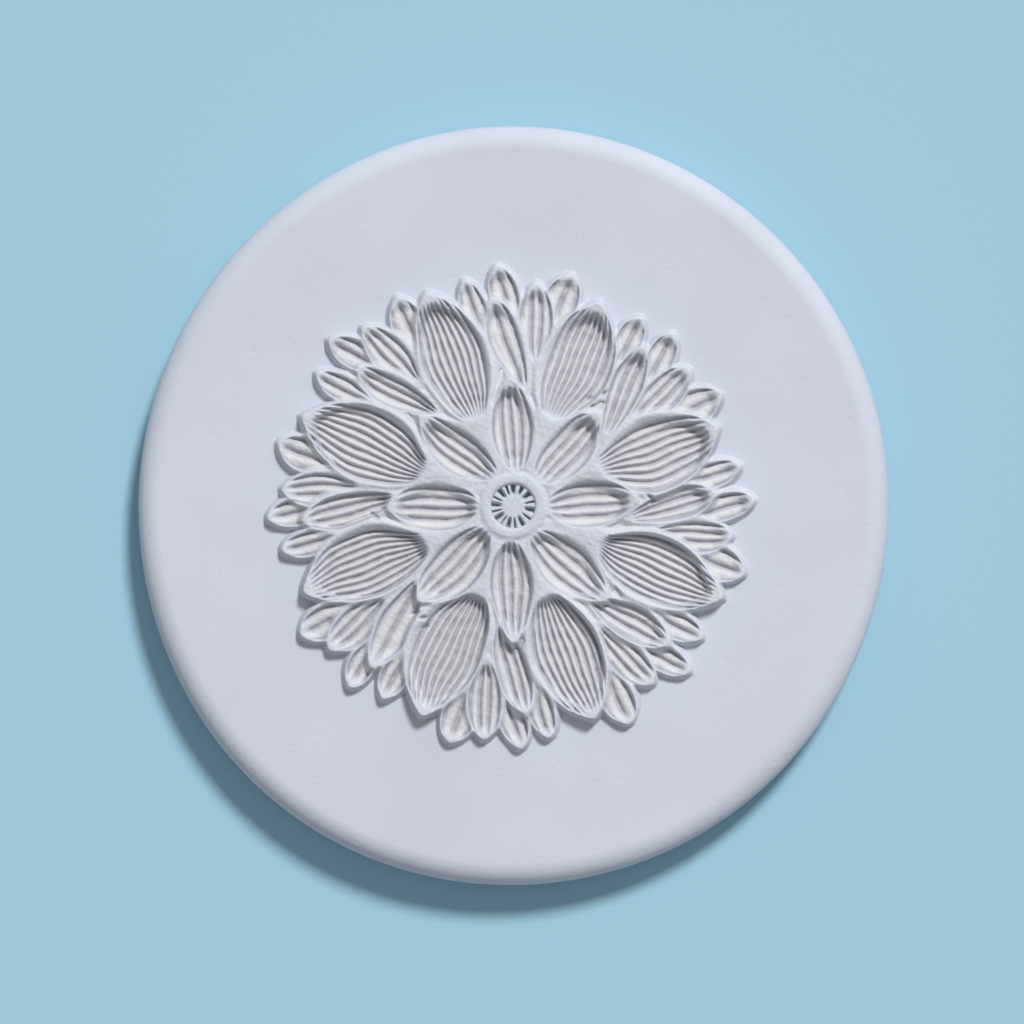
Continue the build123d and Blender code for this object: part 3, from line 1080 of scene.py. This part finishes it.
class CLAY_OT_inner_petals(Operator):
    """Build the eight inner petals"""

    bl_idname = "clay.inner_petals"
    bl_label = "Inner Petals"

    def execute(self, context):
        build_sprigs(context, ("inner_petal",), 130, 76)
        return {"FINISHED"}


class CLAY_OT_large_petals(Operator):
    """Build the eight large petals with their necks"""

    bl_idname = "clay.large_petals"
    bl_label = "Large Petals"

    def execute(self, context):
        build_sprigs(context, ("large_petal",), 220, 96)
        return {"FINISHED"}


class CLAY_OT_middle_petals(Operator):
    """Build the eight middle petals"""

    bl_idname = "clay.middle_petals"
    bl_label = "Middle Petals"

    def execute(self, context):
        build_sprigs(context, ("middle_petal",), 116, 54)
        return {"FINISHED"}


class CLAY_OT_leaves(Operator):
    """Build the four rings of outer leaves"""

    bl_idname = "clay.leaves"
    bl_label = "Leaves"

    def execute(self, context):
        build_sprigs(context, ("long_leaf", "side_leaf", "crown_leaf", "broad_leaf"), 84, 50)
        return {"FINISHED"}


class CLAY_OT_stage(Operator):
    """Build the floor, the lights and the camera"""

    bl_idname = "clay.stage"
    bl_label = "Stage"

    def execute(self, context):
        stage = context.scene.clay_stage
        scene = context.scene
        mesh = bpy.data.meshes.new("floor")
        half = 1.5
        mesh.from_pydata([(-half, -half, 0), (half, -half, 0), (half, half, 0), (-half, half, 0)], [], [(0, 1, 2, 3)])
        floor = bpy.data.objects.new("floor", mesh)
        scene.collection.objects.link(floor)
        material = bpy.data.materials.new("floor_paint")
        material.use_nodes = True
        shader = material.node_tree.nodes["Principled BSDF"]
        shader.inputs["Base Color"].default_value = (*stage.floor_colour, 1)
        shader.inputs["Roughness"].default_value = 0.9
        shader.inputs["Specular IOR Level"].default_value = 0.1
        mesh.materials.append(material)

        sun = bpy.data.lights.new("key", "SUN")
        sun.energy = stage.key_strength
        sun.angle = np.radians(12)
        lamp = bpy.data.objects.new("key", sun)
        lamp.rotation_euler = (np.radians(90 - 47), 0, np.radians(65 + 90))
        scene.collection.objects.link(lamp)

        world = scene.world or bpy.data.worlds.new("world")
        scene.world = world
        world.use_nodes = True
        sky = world.node_tree.nodes["Background"]
        sky.inputs["Color"].default_value = (0.96, 0.98, 1.0, 1)
        sky.inputs["Strength"].default_value = stage.fill_strength

        view = bpy.data.cameras.new("camera")
        view.lens = 198.5
        view.sensor_width = 36
        view.clip_end = 10
        camera = bpy.data.objects.new("camera", view)
        camera.location = (-0.106 * MM, -0.60 * MM, FACE * MM + 0.6)
        scene.collection.objects.link(camera)
        scene.camera = camera
        scene.view_settings.view_transform = "Standard"
        return {"FINISHED"}


class CLAY_PT_panel(Panel):
    """The stamp's operators and settings"""

    bl_label = "Clay Stamp"
    bl_idname = "CLAY_PT_panel"
    bl_space_type = "VIEW_3D"
    bl_region_type = "UI"
    bl_category = "Clay Stamp"

    def draw(self, context):
        layout = self.layout
        for group in (context.scene.clay_sizes, context.scene.clay_finish, context.scene.clay_stage):
            for name in group.__annotations__:
                layout.prop(group, name)
        for operator in BUILD_ORDER:
            layout.operator(operator.bl_idname)


BUILD_ORDER = (
    CLAY_OT_stage,
    CLAY_OT_slab,
    CLAY_OT_centre,
    CLAY_OT_inner_petals,
    CLAY_OT_large_petals,
    CLAY_OT_middle_petals,
    CLAY_OT_leaves,
)
CLASSES = (ClayFinish, ClaySizes, ClayStage) + BUILD_ORDER + (CLAY_PT_panel,)


def register():
    """Register the classes and their settings."""
    for made in CLASSES:
        bpy.utils.register_class(made)
    bpy.types.Scene.clay_finish = PointerProperty(type=ClayFinish)
    bpy.types.Scene.clay_sizes = PointerProperty(type=ClaySizes)
    bpy.types.Scene.clay_stage = PointerProperty(type=ClayStage)


def unregister():
    """Take the classes and their settings away again."""
    del bpy.types.Scene.clay_stage
    del bpy.types.Scene.clay_sizes
    del bpy.types.Scene.clay_finish
    for made in reversed(CLASSES):
        bpy.utils.unregister_class(made)


def main():
    """Build everything."""
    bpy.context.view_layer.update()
    register()
    bpy.ops.clay.stage()
    bpy.ops.clay.slab()
    bpy.ops.clay.centre()
    bpy.ops.clay.inner_petals()
    bpy.ops.clay.large_petals()
    bpy.ops.clay.middle_petals()
    bpy.ops.clay.leaves()


if __name__ == "__main__":
    main()
